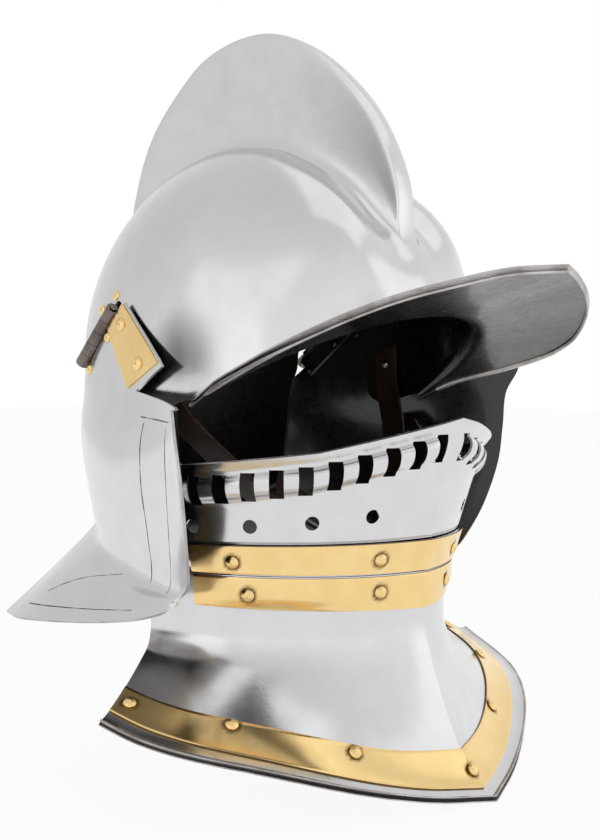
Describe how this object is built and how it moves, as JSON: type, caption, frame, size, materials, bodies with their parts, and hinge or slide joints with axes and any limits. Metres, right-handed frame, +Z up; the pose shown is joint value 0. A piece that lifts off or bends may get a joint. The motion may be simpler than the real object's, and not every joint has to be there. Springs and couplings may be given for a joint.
{
  "type": "burgonet helmet with falling buffe",
  "caption": "Open steel helmet with a high comb and pointed peak, hinged cheekpieces and a slotted face guard on a flared collar.",
  "frame": {"origin": "middle of the bowl, at the centre of the head that wears it", "axes": "+Z up, the face looks along -Y, +X is to the wearer's left"},
  "size_m": [0.3192, 0.3322, 0.4268],
  "materials": {
    "polished_steel": "mirror polish with fine brush marks, black paint inside",
    "brass_sheet": "bright polished sheet",
    "brass_rivet": "bright domed heads",
    "hinge_steel": "darkened steel",
    "plain_steel": "plain steel",
    "leather": "brown leather"
  },
  "bodies": {
    "helmet": {"skull": "polished_steel", "middle_lame": "polished_steel", "collar_plate": "polished_steel", "middle_lame_band": "brass_sheet", "collar_band": "brass_sheet", "gorget_band": "brass_sheet", "bowl_leaf_rivets_right": "brass_rivet", "bowl_leaf_rivets_left": "brass_rivet", "middle_lame_rivets": "brass_rivet", "collar_rivets": "brass_rivet", "gorget_rivets": "brass_rivet", "hinge_leaf_bowl_right": "hinge_steel", "hinge_leaf_bowl_left": "hinge_steel", "hinge_pin_right": "hinge_steel", "hinge_pin_left": "hinge_steel", "pivot_rivet_right": "plain_steel", "pivot_rivet_left": "plain_steel", "chin_strap_rivets": "plain_steel", "nape_rivets": "plain_steel", "chin_buckle": "plain_steel", "nape_buckle": "plain_steel", "chin_strap_right": "leather", "chin_strap_left": "leather", "nape_strap": "leather"},
    "cheek_right": {"cheek_right": "polished_steel", "arm_plate_right": "brass_sheet", "hinge_leaf_cheek_right": "hinge_steel", "cheek_leaf_rivets_right": "brass_rivet", "arm_plate_rivets_right": "brass_rivet"},
    "cheek_left": {"cheek_left": "polished_steel", "arm_plate_left": "brass_sheet", "hinge_leaf_cheek_left": "hinge_steel", "cheek_leaf_rivets_left": "brass_rivet", "arm_plate_rivets_left": "brass_rivet"},
    "face_plate": {"face_plate": "polished_steel"}
  },
  "joints": [
    {"name": "cheek_right_hinge", "type": "hinge", "parent": "helmet", "child": "cheek_right", "pos_m": [-0.09705, 0.046, 0.0192], "axis": [0.1126, 0.7438, -0.6588], "range_deg": [0, 65]},
    {"name": "cheek_left_hinge", "type": "hinge", "parent": "helmet", "child": "cheek_left", "pos_m": [0.09705, 0.046, 0.0192], "axis": [0.1126, -0.7438, 0.6588], "range_deg": [0, 65]},
    {"name": "face_plate_pivot", "type": "hinge", "parent": "helmet", "child": "face_plate", "pos_m": [0, -0.017, -0.042], "axis": [1, 0, 0], "range_deg": [0, 10]}
  ]
}
